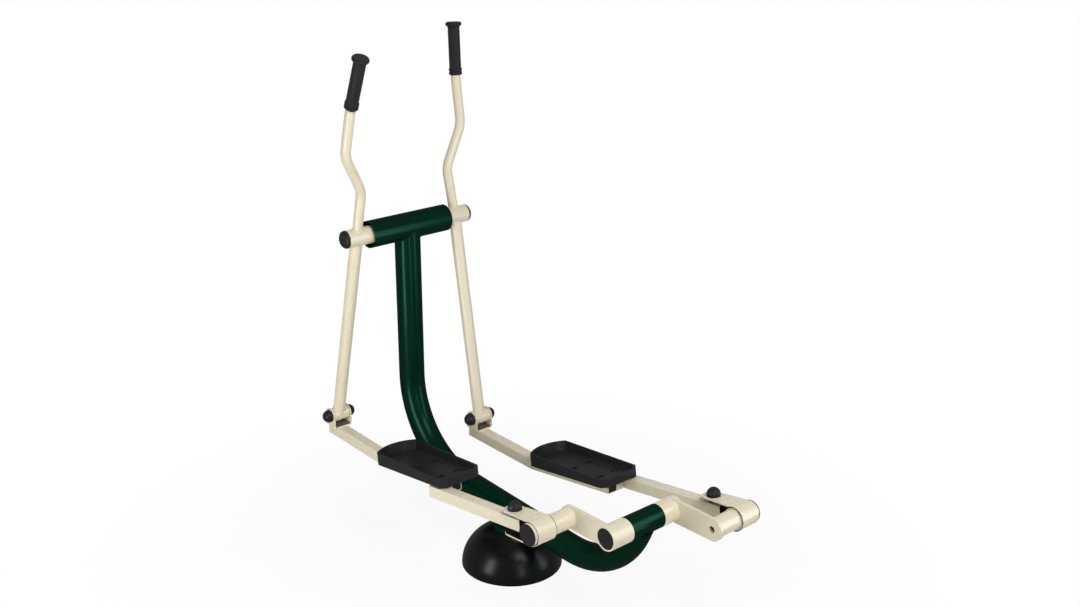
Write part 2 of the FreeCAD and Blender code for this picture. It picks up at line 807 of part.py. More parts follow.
def pedal_outline(inset, height):
    """Pedal seen from above: chamfered rear corners, straight sides, round front."""
    side = pedal_width / 2 - inset
    rear = pedal_rear + inset
    front = pedal_front - inset
    inner_rear = side - pedal_chamfer_in
    chamfer_end = rear + pedal_chamfer_along
    corners = [
        V(pedal_plane - side, pedal_side_front - inset, height),
        V(pedal_plane - side, chamfer_end, height),
        V(pedal_plane - inner_rear, rear, height),
        V(pedal_plane + inner_rear, rear, height),
        V(pedal_plane + side, chamfer_end, height),
        V(pedal_plane + side, pedal_side_front - inset, height),
    ]
    edges = [line(start, end) for start, end in zip(corners, corners[1:])]
    edges.append(arc(corners[-1], V(pedal_plane, front, height), corners[0]))
    return Part.Wire(edges)


def pedal_bolt_spots(height):
    """Points of the four pedal bolts."""
    middle = V(pedal_plane, pedal_bolt_middle, height)
    return [
        middle + V(across * pedal_bolt_across / 2, along * pedal_bolt_along / 2, 0)
        for across in (-1, 1)
        for along in (-1, 1)
    ]


def pedal():
    """Moulded tray whose rim falls towards the heel, with drafted inner walls and bolt slots."""
    floor_top = pedal_base + pedal_floor
    rim_front = pedal_base + pedal_wall_front
    rim_rear = pedal_base + pedal_wall_rear
    block = Part.Face(pedal_outline(0, pedal_base)).extrude(V(0, 0, pedal_wall_front))
    corners = [edge for edge in block.Edges if edge.BoundBox.ZLength > pedal_wall_rear]
    block = block.makeFillet(pedal_corner_round, corners)
    above_rim = face_of([
        V(pedal_plane - pedal_width, pedal_rear, rim_rear),
        V(pedal_plane - pedal_width, pedal_front, rim_front),
        V(pedal_plane - pedal_width, pedal_front, rim_front + pedal_wall_front),
        V(pedal_plane - pedal_width, pedal_rear, rim_front + pedal_wall_front),
    ]).extrude(V(2 * pedal_width, 0, 0))
    hollow = Part.makeLoft(
        [pedal_outline(pedal_rim + pedal_draft, floor_top), pedal_outline(pedal_rim, rim_front)], True, True
    )
    holes = []
    for spot in pedal_bolt_spots(floor_top - pedal_slot_depth):
        reach = V(pedal_slot_length / 2 - pedal_slot_width / 2, 0, 0)
        half = V(0, pedal_slot_width / 2, 0)
        end = V(pedal_slot_length / 2, 0, 0)
        slot = Part.Face(Part.Wire([
            line(spot - reach - half, spot + reach - half),
            arc(spot + reach - half, spot + end, spot + reach + half),
            line(spot + reach + half, spot - reach + half),
            arc(spot - reach + half, spot - end, spot - reach - half),
        ]))
        holes.append(slot.extrude(V(0, 0, pedal_slot_depth)))
        under = V(spot.x, spot.y, pedal_base)
        holes.append(Part.makeCylinder(pedal_bolt_diameter / 2 + bolt_hole_clearance, pedal_floor, under))
    return block.cut(above_rim).cut(hollow).cut(holes)


def pedal_plate():
    """Plate on the bars under the pedal, with a block that joins the two bars."""
    plate = Part.Face(pedal_outline(pedal_plate_inset, bar_half)).extrude(V(0, 0, pedal_plate_thickness))
    behind_bar = Part.makeBox(
        2 * pedal_width, front_bar_rear_end, 2 * bar_size, V(pedal_plane - pedal_width, 0, -bar_half)
    )
    block = Part.makeBox(
        rear_bar_plane - lever_plane_at_pivot - bar_size,
        joining_block_length,
        bar_size,
        V(lever_plane_at_pivot + bar_half, front_bar_rear_end, -bar_half),
    )
    holes = [
        Part.makeCylinder(pedal_bolt_diameter / 2 + bolt_hole_clearance, pedal_plate_thickness, spot)
        for spot in pedal_bolt_spots(bar_half)
    ]
    return plate.cut(behind_bar).fuse(block).cut(holes)


def pedal_bolts():
    """Round-headed bolts in the pedal's slots, with nuts under the plate."""
    bolts = []
    head_seat = pedal_base + pedal_floor - pedal_slot_depth
    nut_seat = bar_half
    shank_foot = nut_seat - pedal_nut_height
    shank_length = head_seat - shank_foot
    for spot in pedal_bolt_spots(0):
        head = Part.makeCylinder(pedal_bolt_head / 2, pedal_bolt_head_height, spot + V(0, 0, head_seat))
        shank = Part.makeCylinder(pedal_bolt_diameter / 2, shank_length, spot + V(0, 0, shank_foot))
        nut = hexagon(pedal_bolt_diameter)
        nut.translate(spot + V(0, 0, nut_seat - pedal_bolt_diameter * hexagon_height_per_bolt))
        bolts.append(head.fuse(shank).fuse(nut))
    return bolts


def strap_band(radius):
    """Round-ended block across the strap's width: the sleeve's circle drawn out to the strap's tips."""
    low_tip = V(pin_hub_inner_end, strap_tip, -radius)
    low = V(pin_hub_inner_end, 0, -radius)
    rear = V(pin_hub_inner_end, -radius, 0)
    high = V(pin_hub_inner_end, 0, radius)
    high_tip = V(pin_hub_inner_end, strap_tip, radius)
    edges = [line(low_tip, low), arc(low, rear, high), line(high, high_tip), line(high_tip, low_tip)]
    return Part.Face(Part.Wire(edges)).extrude(V(strap_width, 0, 0))


def strap():
    """Plate bent round the bearing sleeve, its two legs on the bosses of the rear bar."""
    band = strap_band(strap_radius).cut(strap_band(pin_sleeve_radius)).common(strap_plan())
    seam_diameter = 2 * (pin_sleeve_radius + strap_seam)
    seams = [
        rod_x(pin_hub_inner_end, pin_hub_inner_end + strap_seam, seam_diameter),
        rod_x(strap_outer_end - strap_seam, strap_outer_end, seam_diameter),
    ]
    return band.cut(seams + [strap_bolt_hole()])


def strap_plan():
    """Outline of the strap from above: full width at the sleeve, drawn in to its round tips."""
    wide = strap_width / 2
    narrow = strap_tip_width / 2
    rear = -2 * strap_radius
    level = -2 * strap_radius
    side = [
        V(rear_bar_plane + narrow, strap_tip - narrow, level),
        V(rear_bar_plane + wide, strap_taper_start, level),
        V(rear_bar_plane + wide, rear, level),
    ]
    other = [V(2 * rear_bar_plane - point.x, point.y, point.z) for point in reversed(side)]
    outline = side + other
    edges = [line(start, end) for start, end in zip(outline, outline[1:])]
    edges.append(arc(outline[-1], V(rear_bar_plane, strap_tip, level), outline[0]))
    return Part.Face(Part.Wire(edges)).extrude(V(0, 0, 4 * strap_radius))


def strap_bolt():
    return placed(hexagon_bolt(strap_bolt_diameter, 2 * strap_radius), at_strap_bolt)


def strap_caps():
    return placed(cap_pair(2 * strap_radius), at_strap_bolt)


def pin_sleeve():
    return ring_x(pin_hub_inner_end, pin_hub_outer_end, 2 * pin_sleeve_radius, pin_bearing_outer)


def pin_bearings():
    inner = pin_hub_inner_end + pin_bearing_inset
    outer = pin_hub_outer_end - pin_disc_depth - pin_bearing_inset
    return [
        ring_x(inner, inner + pin_bearing_width, pin_bearing_outer, pin_axle_diameter),
        ring_x(outer - pin_bearing_width, outer, pin_bearing_outer, pin_axle_diameter),
    ]


def pin_axle():
    """Axle of the bearing hub, ending level with the hub's inner face."""
    return rod_x(pin_hub_inner_end, pin_hub_outer_end - pin_disc_depth, pin_axle_diameter)


def pin_disc():
    """Black end disc: a spigot in the sleeve and a lip that covers the sleeve's end."""
    spigot = rod_x(pin_hub_outer_end - pin_disc_depth, pin_hub_outer_end, pin_bearing_outer)
    return spigot.fuse(rod_x(pin_hub_outer_end, pin_hub_outer_end + pin_disc_lip, 2 * pin_sleeve_radius))


def end_plugs():
    """Black plug in the front bar's rear end and black disc in the bearing sleeve's end."""
    plug = bar_insert(lever_plane_at_pivot, front_bar_rear_end, -1, bar_plug_depth)
    return [plug, pin_disc()]


# Assembly

def save(name, shapes):
    """Write the solids of one piece, or group of like pieces, to its own file."""
    solids = [solid for shape in shapes for solid in shape.Solids]
    for solid in solids:
        if not solid.isValid():
            raise ValueError(name + " is not a valid solid")
    body = solids[0] if len(solids) == 1 else Part.makeCompound(solids)
    body.exportStep("parts/" + name + ".step")


def on_side(side, shapes):
    """Shapes made for the right side, or their mirror image for the left."""
    if side > 0:
        return shapes
    return [shape.mirror(V(), ALONG_X) for shape in shapes]


save("main_tube", [main_tube()])
save("base_flange", [base_flange()])
save("base_post", [base_post()])
save("base_cover", [base_cover()])
save("cross_tube", placed([cross_tube()], cross_tube_place))
save("lever_axle", placed([lever_axle()], cross_tube_place))
save("axle_seats", placed(axle_seats(), cross_tube_place))
save("crank_housing", placed([crank_housing()], crank_place))
save("crank_bearings", placed(crank_bearings(), crank_place))
save("crank_shaft", placed([crank_shaft()], crank_place))

caps = []
spacers = []
for side_name, side in (("left", -1), ("right", 1)):
    crank_way = FreeCAD.Placement(crank_place.Base, FreeCAD.Rotation(ALONG_X, 90 * (side + 1)))
    save(side_name + "_crank_hub", placed(on_side(side, [crank_hub()]), crank_place))
    save(side_name + "_crank_arm", placed(on_side(side, [crank_arm()]), crank_way))
    spacers += placed(on_side(side, [pin_spacer()]), crank_way)
    caps += placed(on_side(side, [crank_cap()]), crank_place)

    lever_place = turned_about_x(lever_axis_y, lever_axis_z, lever_swing(side))
    lever_pieces = {
        "lever_hub": [lever_hub()],
        "lower_arm": [lower_arm()],
        "handle": [handle()],
        "grip": [grip()],
        "pivot_hub": [pivot_hub()],
        "pivot_bushes": pivot_bushes(),
        "hub_bearings": hub_bearings(),
        "hub_plug": [hub_plug()],
    }
    for piece_name, shapes in lever_pieces.items():
        save(side_name + "_" + piece_name, placed(on_side(side, shapes), lever_place))

    pivot_y, pivot_z = pivot_point(side)
    bar_place = turned_about_x(pivot_y, pivot_z, foot_bar_pitch(side))
    bar_pieces = {
        "front_bar": [front_bar()],
        "clevis": placed([clevis()], front_run_frame),
        "pivot_bolt": placed(pivot_bolt(), front_run_frame),
        "bolt_caps": placed(pivot_caps(), front_run_frame) + placed(strap_caps(), rear_run_frame),
        "end_plugs": placed(end_plugs(), rear_run_frame),
        "rear_bar": placed([rear_bar()], rear_run_frame),
        "pedal_plate": placed([pedal_plate()], rear_run_frame),
        "pedal": placed([pedal()], rear_run_frame),
        "pedal_bolts": placed(pedal_bolts(), rear_run_frame),
        "strap": placed([strap()], rear_run_frame),
        "strap_bolt": placed(strap_bolt(), rear_run_frame),
        "pin_sleeve": placed([pin_sleeve()], rear_run_frame),
        "pin_bearings": placed(pin_bearings(), rear_run_frame),
        "pin_axle": placed([pin_axle()], rear_run_frame),
    }
    for piece_name, shapes in bar_pieces.items():
        save(side_name + "_" + piece_name, placed(on_side(side, shapes), bar_place))

save("pin_spacers", spacers)
save("crank_caps", caps)
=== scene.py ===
import json
import math

import bmesh
import bpy
from mathutils import Matrix, Vector


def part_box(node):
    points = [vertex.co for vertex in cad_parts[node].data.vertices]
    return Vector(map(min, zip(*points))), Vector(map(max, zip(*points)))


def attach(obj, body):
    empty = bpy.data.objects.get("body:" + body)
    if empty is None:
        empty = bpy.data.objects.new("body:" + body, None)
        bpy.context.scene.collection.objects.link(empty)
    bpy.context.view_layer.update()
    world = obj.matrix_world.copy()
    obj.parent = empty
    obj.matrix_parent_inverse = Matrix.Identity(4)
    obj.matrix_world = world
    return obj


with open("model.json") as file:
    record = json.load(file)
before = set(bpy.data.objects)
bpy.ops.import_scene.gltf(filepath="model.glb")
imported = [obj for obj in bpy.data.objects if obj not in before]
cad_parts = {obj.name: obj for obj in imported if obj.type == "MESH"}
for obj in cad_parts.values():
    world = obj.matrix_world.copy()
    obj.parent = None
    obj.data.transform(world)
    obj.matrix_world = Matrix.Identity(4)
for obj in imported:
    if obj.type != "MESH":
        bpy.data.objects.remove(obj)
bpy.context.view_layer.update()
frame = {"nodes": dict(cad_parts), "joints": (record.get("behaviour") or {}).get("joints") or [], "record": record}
joint_at = {joint["name"]: Vector(joint["pos_m"]) for joint in frame["joints"]}
lever_axis = joint_at["left_lever_swing"]
crank_axis = joint_at["crank_turn"]


# Sizes of the machine, in metres

MAIN_TUBE_RADIUS = 0.04445
LEVER_PLANE_AT_HUB = 0.205
LOWER_ARM_RADIUS = 0.0212
HANDLE_RADIUS = 0.01685
HANDLE_LOW_BEND = Vector((0, 0.0065, 0.168))    # from the hub, with the lower arm hanging straight down
BAR_HALF = 0.020
BAR_CORNER = 0.004
FRONT_BAR_TILT = math.radians(3.8)
FRONT_BAR_BEND_BACK = 0.305
REAR_BAR_GAP_TO_PIN = 0.066
PIVOT_ABOVE_BAR = 0.0435
CLEVIS_HALF_LENGTH = 0.028
CLEVIS_THICKNESS = 0.0045
CLEVIS_BEND_RADIUS = 0.006
SLEEVE_RADIUS = 0.0345
STRAP_SEAM = 0.0025
STRAP_HALF_WIDTH = 0.0355
STRAP_TIP = 0.145
STRAP_TIP_RADIUS = 0.030
STRAP_TAPER_START = 0.030
STRAP_BOLT_STATION = 0.105
STRAP_BOSS_RADIUS = 0.015


# Sizes of the welds, and of the dark seals, liners, buffers and pads that paint shade, in metres

WELD_RADIUS = 0.0020
CROSS_TUBE_WELD_RADIUS = 0.0030
CLEVIS_WELD_RADIUS = 0.0016
CLEVIS_WELD_INSET = 0.002
RIPPLE_PITCH = 0.0035
WELD_RIPPLE = 0.10    # share of the bead's radius
STRAP_SHADE_SEAL_RADIUS = 0.0011
PIVOT_SHADE_SEAL_RADIUS = 0.00045
PIVOT_SHADE_SEAL_INSET = PIVOT_SHADE_SEAL_RADIUS / 3
SHADE_LINER_INSET = 0.0015
SHADE_LINER_THICKNESS = 0.0025
SHADE_END_PAD_THICKNESS = 0.002
CLEVIS_SHADE_PAD_HEIGHT = 0.004
CLEVIS_SHADE_PAD_INSET = 0.001
SHADE_BUFFER_COVER = 0.0002    # how far a buffer's ends stand out from the boss
SHADE_BUFFER_BULGE = 0.0012
SEAT_DEPTH = 0.0002    # how far the dark pieces that paint shade are pressed into what carries them
SHADE_PAD_ROUND = 0.0006


# Fineness of the meshes

BEAD_SIDES = 8
LOOP_STEPS = 120
SEAL_STEPS = 96
COPE_STEPS = 80
STRAIGHT_STEPS = 24
TURNED_SIDES = 64
STRAP_TIP_STEPS = 17
BAR_CORNER_STEPS = 6
CLEVIS_BEND_STEPS = 7
SHADE_BUFFER_LEVELS = 6
RIM_STEPS = 2
SMOOTH_ANGLE = math.radians(35)


# Turns and directions

FULL_TURN = 2 * math.pi
HALF_TURN = math.pi
QUARTER_TURN = math.pi / 2
ALONG_X = Vector((1, 0, 0))
BEAD_ASIDE = Vector((0.31, 0.53, 0.79))    # no bead runs along this direction


# Values that the finishes share

PATTERN_MIDDLE = 0.5
EDGE_SAMPLES = 6
SCRATCH_SCALE = (60.0, 900.0, 900.0)    # scratches run along X


# Camera, floor and fill light

CAMERA_PLACE = Vector((-2.5867, -3.0578, 2.3240))
CAMERA_AZIMUTH = math.radians(-41.58)
CAMERA_ELEVATION = math.radians(19.34)
CAMERA_LENS = 44.89
SENSOR_WIDTH = 36.0
FLOOR_HALF = 40.0
FLOOR_DROP = 0.0005
FLOOR_TONES = ((0.90, 0.90, 0.90, 1), (0.94, 0.94, 0.94, 1))
FLOOR_ROUGHNESS = 0.9
SHADOW_REACH = 0.4    # within this distance of the base the floor shows most of the shadow
WHITE_REACH = 1.7    # from this distance on it is plain white
WHITE_NEAR_BASE = 0.91    # share of plain white within the shadow's reach
FILL_STRENGTH = 0.17
WHITE = (1, 1, 1, 1)


# Shader node groups

def feed(tree, value, socket):
    """Link a socket to an output, or set it to a plain value."""
    if isinstance(value, bpy.types.NodeSocket):
        tree.links.new(value, socket)
    else:
        socket.default_value = value


def new_group(name, inputs, outputs):
    """Empty shader group with named sockets: (name, kind, default) for each input."""
    group = bpy.data.node_groups.new(name, "ShaderNodeTree")
    for label, kind, default in inputs:
        socket = group.interface.new_socket(name=label, in_out="INPUT", socket_type="NodeSocket" + kind)
        socket.default_value = default
    for label, kind in outputs:
        group.interface.new_socket(name=label, in_out="OUTPUT", socket_type="NodeSocket" + kind)
    entry = group.nodes.new("NodeGroupInput")
    exit_node = group.nodes.new("NodeGroupOutput")
    return group, entry, exit_node


def put_out(group, exit_node, **outputs):
    """Link a group's outputs, each by its name."""
    for label, value in outputs.items():
        group.links.new(value, exit_node.inputs[label])


def noise(tree, coordinates, scale, detail, roughness=0.5):
    """Noise in 0..1; its scale is a number or an output."""
    node = tree.nodes.new("ShaderNodeTexNoise")
    node.inputs["Detail"].default_value = detail
    node.inputs["Roughness"].default_value = roughness
    tree.links.new(coordinates, node.inputs["Vector"])
    feed(tree, scale, node.inputs["Scale"])
    return node.outputs["Fac"]


def remap(tree, value, low, high, to_low=0.0, to_high=1.0):
    """Smooth ramp of a value from low..high to to_low..to_high."""
    node = tree.nodes.new("ShaderNodeMapRange")
    node.interpolation_type = "SMOOTHSTEP"
    for label, number in (("From Min", low), ("From Max", high), ("To Min", to_low), ("To Max", to_high)):
        node.inputs[label].default_value = number
    tree.links.new(value, node.inputs["Value"])
    return node.outputs["Result"]


def combine(tree, operation, first, second):
    """Math node on two outputs or numbers."""
    node = tree.nodes.new("ShaderNodeMath")
    node.operation = operation
    for socket, value in zip(node.inputs, (first, second)):
        feed(tree, value, socket)
    return node.outputs["Value"]


def vary(tree, base, pattern, amount):
    """Base value that a 0..1 pattern raises and lowers by up to half the amount."""
    centred = combine(tree, "SUBTRACT", pattern, PATTERN_MIDDLE)
    return combine(tree, "ADD", base, combine(tree, "MULTIPLY", centred, amount))


def blend_colour(tree, share, first, second):
    """Mix of a first colour with a second one, by a share of the second."""
    node = tree.nodes.new("ShaderNodeMix")
    node.data_type = "RGBA"
    feed(tree, share, node.inputs["Factor"])
    feed(tree, first, node.inputs["A"])
    feed(tree, second, node.inputs["B"])
    return node.outputs["Result"]


def object_points(tree):
    return tree.nodes.new("ShaderNodeTexCoord").outputs["Object"]


def surface_normal(tree):
    return tree.nodes.new("ShaderNodeNewGeometry").outputs["Normal"]


def powder_coat_group():
    """Baked powder coat: slow drift of tone, orange peel, and a roughness that varies with the clouds."""
    group, entry, exit_node = new_group(
        "powder_coat",
        [("Tone", "Color", (0.5, 0.5, 0.5, 1)), ("Deep Tone", "Color", (0.4, 0.4, 0.4, 1)),
         ("Roughness", "Float", 0.35), ("Peel Scale", "Float", 420.0)],
        [("Color", "Color"), ("Roughness", "Float"), ("Height", "Float")],
    )
    points = object_points(group)
    drift = noise(group, points, scale=4.0, detail=3.0)
    cloud = noise(group, points, scale=38.0, detail=4.0, roughness=0.6)
    peel = noise(group, points, scale=entry.outputs["Peel Scale"], detail=2.0, roughness=0.45)
    drifted = remap(group, drift, low=0.35, high=0.7)
    share = combine(group, "MULTIPLY", drifted, remap(group, cloud, low=0.3, high=0.75))
    colour = blend_colour(group, share, entry.outputs["Tone"], entry.outputs["Deep Tone"])
    roughness = vary(group, entry.outputs["Roughness"], cloud, amount=0.12)
    put_out(group, exit_node, Color=colour, Roughness=roughness, Height=peel)
    return group


def moulded_group():
    """Moulded plastic or rubber: spark-eroded grain, flow marks and a rubbed tone on its high spots."""
    group, entry, exit_node = new_group(
        "moulded_grain",
        [("Tone", "Color", (0.02, 0.02, 0.02, 1)), ("Rubbed Tone", "Color", (0.05, 0.05, 0.05, 1)),
         ("Roughness", "Float", 0.5), ("Grain Scale", "Float", 900.0)],
        [("Color", "Color"), ("Roughness", "Float"), ("Height", "Float")],
    )
    points = object_points(group)
    flow = noise(group, points, scale=14.0, detail=4.0, roughness=0.55)
    grain = noise(group, points, scale=entry.outputs["Grain Scale"], detail=3.0, roughness=0.6)
    flow_marks = remap(group, flow, low=0.42, high=0.75)
    share = combine(group, "MULTIPLY", flow_marks, remap(group, grain, low=0.35, high=0.7))
    colour = blend_colour(group, share, entry.outputs["Tone"], entry.outputs["Rubbed Tone"])
    roughness = vary(group, entry.outputs["Roughness"], flow, amount=0.25)
    put_out(group, exit_node, Color=colour, Roughness=roughness, Height=grain)
    return group


def worked_metal_group():
    """Plated or machined metal: fine scratches along X and a cloudy plating."""
    group, entry, exit_node = new_group(
        "worked_metal",
        [("Tone", "Color", (0.55, 0.56, 0.57, 1)), ("Dull Tone", "Color", (0.4, 0.41, 0.42, 1)),
         ("Roughness", "Float", 0.3)],
        [("Color", "Color"), ("Roughness", "Float"), ("Height", "Float")],
    )
    points = object_points(group)
    stretch = group.nodes.new("ShaderNodeMapping")
    stretch.inputs["Scale"].default_value = SCRATCH_SCALE
    group.links.new(points, stretch.inputs["Vector"])
    scratches = noise(group, stretch.outputs["Vector"], scale=1.0, detail=3.0)
    cloud = noise(group, points, scale=60.0, detail=3.0)
    dulled = remap(group, cloud, low=0.35, high=0.7)
    colour = blend_colour(group, dulled, entry.outputs["Tone"], entry.outputs["Dull Tone"])
    roughness = vary(group, entry.outputs["Roughness"], scratches, amount=0.3)
    put_out(group, exit_node, Color=colour, Roughness=roughness, Height=scratches)
    return group


def dust_group():
    """Thin dust on faces that look up, broken by noise."""
    group, entry, exit_node = new_group(
        "settled_dust",
        [("Color", "Color", (0.5, 0.5, 0.5, 1)), ("Dust", "Color", (0.35, 0.32, 0.27, 1)),
         ("Amount", "Float", 0.1)],
        [("Color", "Color")],
    )
    split = group.nodes.new("ShaderNodeSeparateXYZ")
    group.links.new(surface_normal(group), split.inputs["Vector"])
    upward = remap(group, split.outputs["Z"], low=0.45, high=0.98)
    spots = noise(group, object_points(group), scale=22.0, detail=5.0, roughness=0.65)
    patches = combine(group, "MULTIPLY", upward, remap(group, spots, low=0.35, high=0.75))
    share = combine(group, "MULTIPLY", patches, entry.outputs["Amount"])
    put_out(group, exit_node, Color=blend_colour(group, share, entry.outputs["Color"], entry.outputs["Dust"]))
    return group


def soft_edge_group():
    """Edges as a press brake or a mould leaves them: a small round, and a mask of where it turns."""
    group, entry, exit_node = new_group(
        "soft_edge",
        [("Radius", "Float", 0.001)],
        [("Normal", "Vector"), ("Edge", "Float")],
    )
    bevel = group.nodes.new("ShaderNodeBevel")
    bevel.samples = EDGE_SAMPLES
    group.links.new(entry.outputs["Radius"], bevel.inputs["Radius"])
    turn = group.nodes.new("ShaderNodeVectorMath")
    turn.operation = "DOT_PRODUCT"
    group.links.new(bevel.outputs["Normal"], turn.inputs[0])
    group.links.new(surface_normal(group), turn.inputs[1])
    turned = remap(group, combine(group, "SUBTRACT", 1.0, turn.outputs["Value"]), low=0.02, high=0.25)
    spots = noise(group, object_points(group), scale=45.0, detail=4.0, roughness=0.6)
    patches = remap(group, spots, low=0.3, high=0.7, to_low=0.35)
    edge = combine(group, "MULTIPLY", turned, patches)
    put_out(group, exit_node, Normal=bevel.outputs["Normal"], Edge=edge)
    return group


POWDER_COAT = powder_coat_group()
MOULDED = moulded_group()
WORKED_METAL = worked_metal_group()
DUST = dust_group()
SOFT_EDGE = soft_edge_group()


# Finishes

def new_material(name):
    material = bpy.data.materials.new(name)
    material.use_nodes = True
    return material, material.node_tree, material.node_tree.nodes["Principled BSDF"]


def place_group(tree, group, values):
    node = tree.nodes.new("ShaderNodeGroup")
    node.node_tree = group
    for label, value in values.items():
        node.inputs[label].default_value = value
    return node


def make_finish(name, group, values, bump_height, edge_radius, edge_wear_and_highlight_tone, dust=None, **shader):
    """Material from a finish group: edges with their own lighter tone (thin-coat wear and painted highlight),
    settled dust, and bump in metres.

    shader holds what is the same all over, named as the shader's sockets with _ for a space.
    """
    material, tree, principled = new_material(name)
    skin = place_group(tree, group, values)
    edge = place_group(tree, SOFT_EDGE, {"Radius": edge_radius})
    # Edges get a lighter tone: part thin-coat wear, part painted highlight where edges would catch light.
    colour = blend_colour(tree, edge.outputs["Edge"], skin.outputs["Color"], edge_wear_and_highlight_tone)
    if dust:
        settled = place_group(tree, DUST, dust)
        tree.links.new(colour, settled.inputs["Color"])
        colour = settled.outputs["Color"]
    bump = tree.nodes.new("ShaderNodeBump")
    bump.inputs["Strength"].default_value = 1.0
    bump.inputs["Distance"].default_value = bump_height
    tree.links.new(skin.outputs["Height"], bump.inputs["Height"])
    tree.links.new(edge.outputs["Normal"], bump.inputs["Normal"])
    tree.links.new(colour, principled.inputs["Base Color"])
    tree.links.new(skin.outputs["Roughness"], principled.inputs["Roughness"])
    tree.links.new(bump.outputs["Normal"], principled.inputs["Normal"])
    for label, value in shader.items():
        principled.inputs[label.replace("_", " ")].default_value = value
    return material


green_coat = make_finish(
    "green_coat", POWDER_COAT,
    {"Tone": (0.0004, 0.0205, 0.0100, 1), "Deep Tone": (0.0003, 0.0175, 0.0084, 1),
     "Roughness": 0.24, "Peel Scale": 380.0},
    bump_height=0.000012, edge_radius=0.0012, edge_wear_and_highlight_tone=(0.001, 0.026, 0.014, 1),
    dust={"Amount": 0.010, "Dust": (0.02, 0.05, 0.035, 1)},
    Metallic=0.22, Specular_IOR_Level=0.0, Specular_Tint=(0.0, 0.06, 0.03, 1),
    Coat_Weight=0.05, Coat_Roughness=0.20,
)
ivory_coat = make_finish(
    "ivory_coat", POWDER_COAT,
    {"Tone": (0.798, 0.724, 0.546, 1), "Deep Tone": (0.778, 0.703, 0.526, 1),
     "Roughness": 0.27, "Peel Scale": 420.0},
    bump_height=0.000006, edge_radius=0.0012, edge_wear_and_highlight_tone=(0.87, 0.83, 0.72, 1),
    dust={"Amount": 0.010},
    Specular_IOR_Level=0.22,
)
grip_rubber = make_finish(
    "grip_rubber", MOULDED,
    {"Tone": (0.0190, 0.0190, 0.0200, 1), "Rubbed Tone": (0.030, 0.030, 0.031, 1),
     "Roughness": 0.60, "Grain Scale": 1500.0},
    bump_height=0.00006, edge_radius=0.0008, edge_wear_and_highlight_tone=(0.033, 0.033, 0.034, 1),
    dust={"Amount": 0.03},
    Specular_IOR_Level=0.07,
)
pedal_plastic = make_finish(
    "pedal_plastic", MOULDED,
    {"Tone": (0.0200, 0.0200, 0.0206, 1), "Rubbed Tone": (0.0250, 0.0250, 0.0256, 1),
     "Roughness": 0.34, "Grain Scale": 1100.0},
    bump_height=0.00005, edge_radius=0.0015, edge_wear_and_highlight_tone=(0.022, 0.022, 0.023, 1),
    dust={"Amount": 0.02},
    Specular_IOR_Level=0.0, Coat_Weight=0.12, Coat_Roughness=0.32,
)
cap_plastic = make_finish(
    "cap_plastic", MOULDED,
    {"Tone": (0.0165, 0.0160, 0.0175, 1), "Rubbed Tone": (0.024, 0.023, 0.025, 1),
     "Roughness": 0.34, "Grain Scale": 1300.0},
    bump_height=0.00003, edge_radius=0.0008, edge_wear_and_highlight_tone=(0.024, 0.023, 0.025, 1),
    dust={"Amount": 0.02},
    Specular_IOR_Level=0.0, Coat_Weight=0.16, Coat_Roughness=0.30,
)
cover_gloss = make_finish(
    "cover_gloss", MOULDED,
    {"Tone": (0.0024, 0.0027, 0.0032, 1), "Rubbed Tone": (0.0036, 0.0040, 0.0046, 1),
     "Roughness": 0.26, "Grain Scale": 500.0},
    bump_height=0.00002, edge_radius=0.0010, edge_wear_and_highlight_tone=(0.008, 0.0085, 0.0095, 1),
    dust={"Amount": 0.02, "Dust": (0.06, 0.06, 0.058, 1)},
    Specular_IOR_Level=0.0, Coat_Weight=0.15, Coat_Roughness=0.27,
)
zinc_steel = make_finish(
    "zinc_steel", WORKED_METAL,
    {"Tone": (0.60, 0.61, 0.62, 1), "Dull Tone": (0.47, 0.48, 0.49, 1), "Roughness": 0.32},
    bump_height=0.00003, edge_radius=0.0004, edge_wear_and_highlight_tone=(0.70, 0.71, 0.72, 1),
    Metallic=1.0,
)
blackened_steel = make_finish(
    "blackened_steel", WORKED_METAL,
    {"Tone": (0.020, 0.020, 0.021, 1), "Dull Tone": (0.012, 0.012, 0.013, 1), "Roughness": 0.48},
    bump_height=0.00003, edge_radius=0.0004, edge_wear_and_highlight_tone=(0.05, 0.05, 0.052, 1),
    Metallic=0.6, Specular_IOR_Level=0.1,
)
sintered_bronze = make_finish(
    "sintered_bronze", WORKED_METAL,
    {"Tone": (0.58, 0.37, 0.16, 1), "Dull Tone": (0.44, 0.28, 0.12, 1), "Roughness": 0.42},
    bump_height=0.00003, edge_radius=0.0004, edge_wear_and_highlight_tone=(0.66, 0.44, 0.21, 1),
    Metallic=1.0,
)
# Near-black finish that paints shade: the seats, seals, liners, buffers and pads that wear it stand in for shadow
# in recesses, seams and pockets.
painted_shade_black = make_finish(
    "painted_shade_black", MOULDED,
    {"Tone": (0.0075, 0.0066, 0.0052, 1), "Rubbed Tone": (0.012, 0.0105, 0.0085, 1),
     "Roughness": 0.7, "Grain Scale": 700.0},
    bump_height=0.00004, edge_radius=0.0005, edge_wear_and_highlight_tone=(0.012, 0.0105, 0.0085, 1),
    Specular_IOR_Level=0.05,
)
# Dark olive finish that paints the shadow under the pivot hub, on the pad in each clevis.
painted_shade_olive = make_finish(
    "painted_shade_olive", MOULDED,
    {"Tone": (0.105, 0.097, 0.062, 1), "Rubbed Tone": (0.135, 0.126, 0.088, 1),
     "Roughness": 0.6, "Grain Scale": 900.0},
    bump_height=0.00005, edge_radius=0.0006, edge_wear_and_highlight_tone=(0.15, 0.14, 0.10, 1),
    dust={"Amount": 0.04},
    Specular_IOR_Level=0.08,
)

